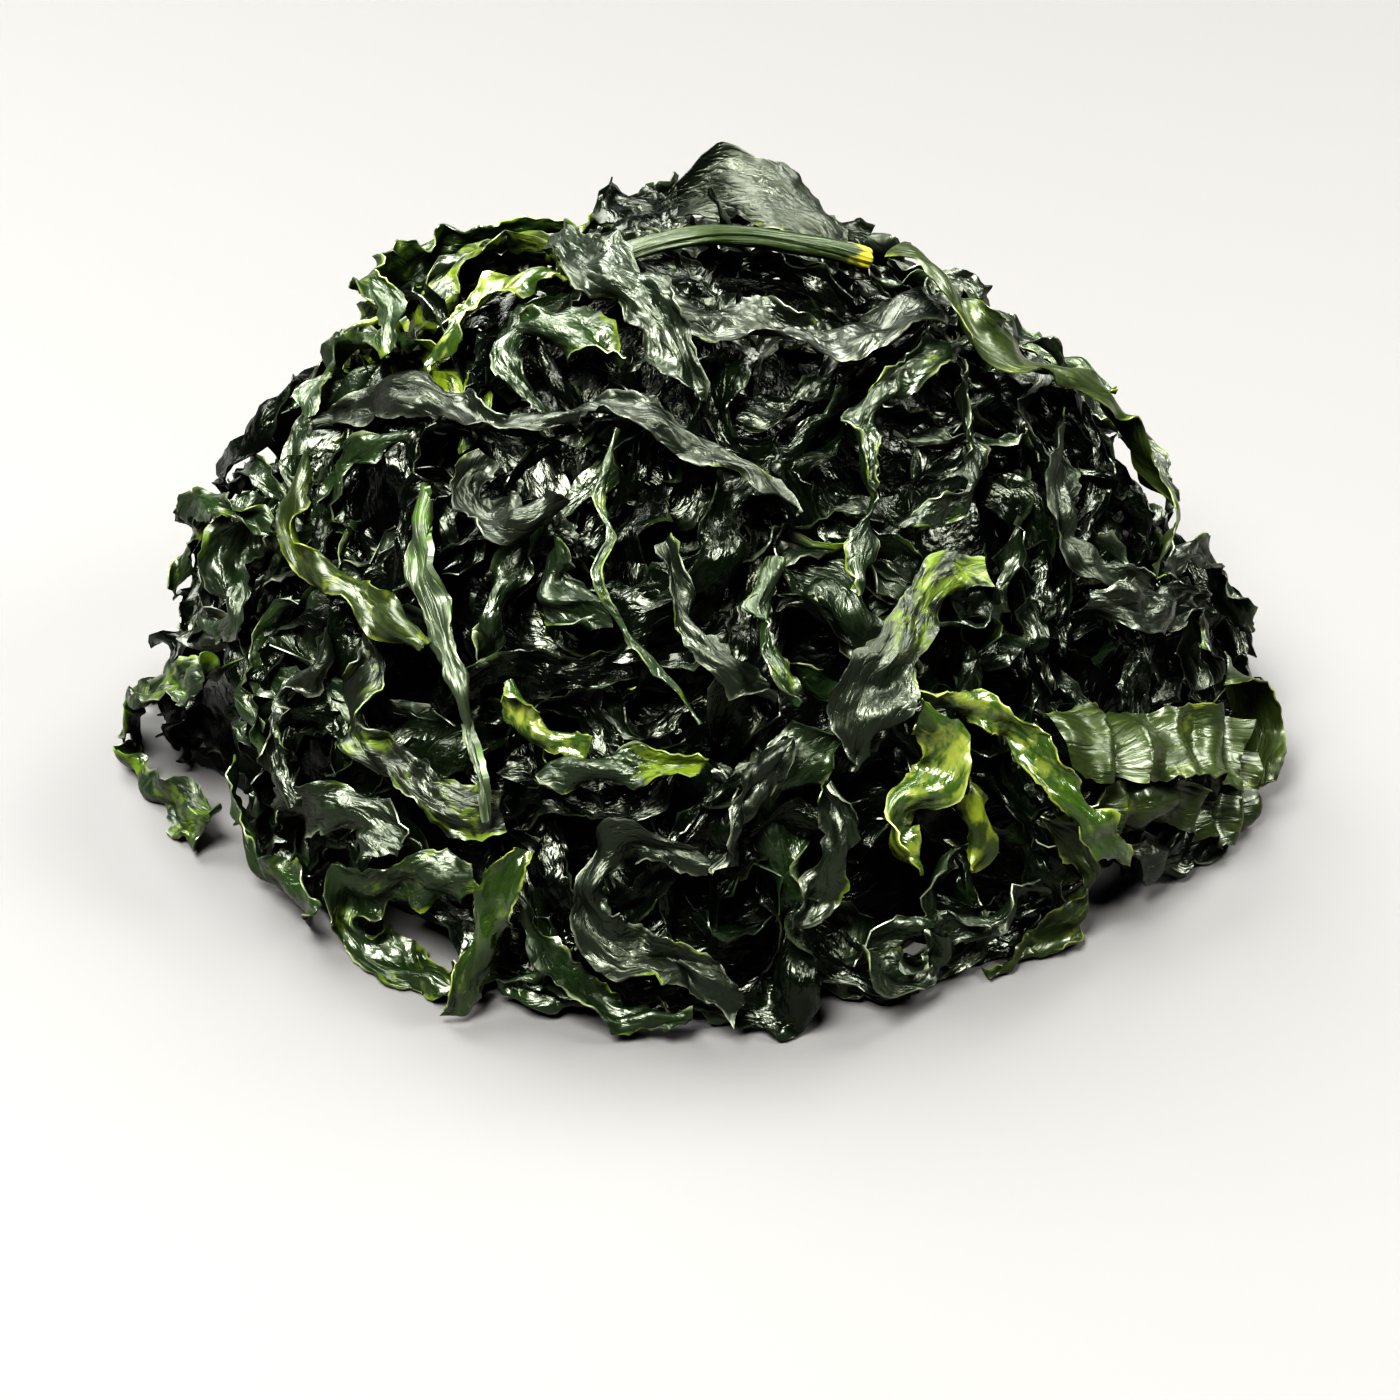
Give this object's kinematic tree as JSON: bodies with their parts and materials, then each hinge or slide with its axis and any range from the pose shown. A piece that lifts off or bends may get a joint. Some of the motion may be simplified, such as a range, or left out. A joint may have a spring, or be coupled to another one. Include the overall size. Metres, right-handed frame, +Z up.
{
  "type": "salted wakame heap",
  "caption": "Loose heap of rinsed salted wakame: glossy black-green cut frond strips with lime edges and pale midribs, laid over a tangled heart, flat underneath.",
  "frame": {"origin": "middle of the heart's flat underside, on the surface that the heap rests on", "axes": "+Z up; -Y towards the side that the picture shows; +X to that viewer's right"},
  "size_m": [0.2171, 0.1964, 0.1095],
  "materials": {
    "dark_frond": "gloss",
    "green_frond": "gloss",
    "lime_frond": "gloss",
    "midrib": "satin"
  },
  "bodies": {
    "root": {"heart_tangle": "dark_frond", "far_side_strip_01": "dark_frond", "far_side_strip_02": "dark_frond", "far_side_strip_03": "green_frond", "far_side_strip_04": "dark_frond", "far_side_strip_05": "lime_frond", "far_side_strip_06": "dark_frond", "far_side_strip_07": "green_frond", "far_side_strip_08": "dark_frond", "far_side_strip_09": "dark_frond", "far_side_strip_10": "green_frond", "far_side_strip_11": "dark_frond", "far_side_strip_12": "lime_frond", "front_left_blade": "green_frond", "floor_left_strip": "green_frond", "floor_middle_curl": "dark_frond", "floor_right_strip": "green_frond", "floor_wave_strip": "green_frond", "right_low_blade": "dark_frond", "left_low_blade": "dark_frond", "left_crumple": "dark_frond", "far_left_blade": "dark_frond", "far_right_tail": "dark_frond", "right_grey_blade": "dark_frond", "right_shoulder_blade": "dark_frond", "middle_crumple": "dark_frond", "middle_left_fold": "dark_frond", "middle_pale_strip": "dark_frond", "middle_leaf": "green_frond", "lime_chip": "lime_frond", "lime_end_strip": "green_frond", "narrow_front_strip": "dark_frond", "front_loop": "dark_frond", "front_hook": "dark_frond", "left_hanging_strip": "dark_frond", "left_drape": "dark_frond", "lime_tip": "lime_frond", "pleated_low_blade": "green_frond", "pleated_blade": "green_frond", "far_right_blade": "green_frond", "olive_stub": "green_frond", "lime_leaf": "lime_frond", "lime_ribbon": "lime_frond", "tongue_blade": "dark_frond", "right_crumple_low": "dark_frond", "right_crumple": "green_frond", "thin_string": "green_frond", "rib_strip": "midrib", "olive_blade": "green_frond", "lime_arch": "lime_frond", "folded_leaf": "green_frond", "long_sash": "dark_frond", "crescent_blade": "dark_frond", "central_strip": "dark_frond", "midrib_stalk": "midrib", "left_curl": "green_frond", "far_left_arch": "green_frond", "top_left_loop": "green_frond", "long_arch": "green_frond", "top_fold": "dark_frond"}
  },
  "joints": []
}
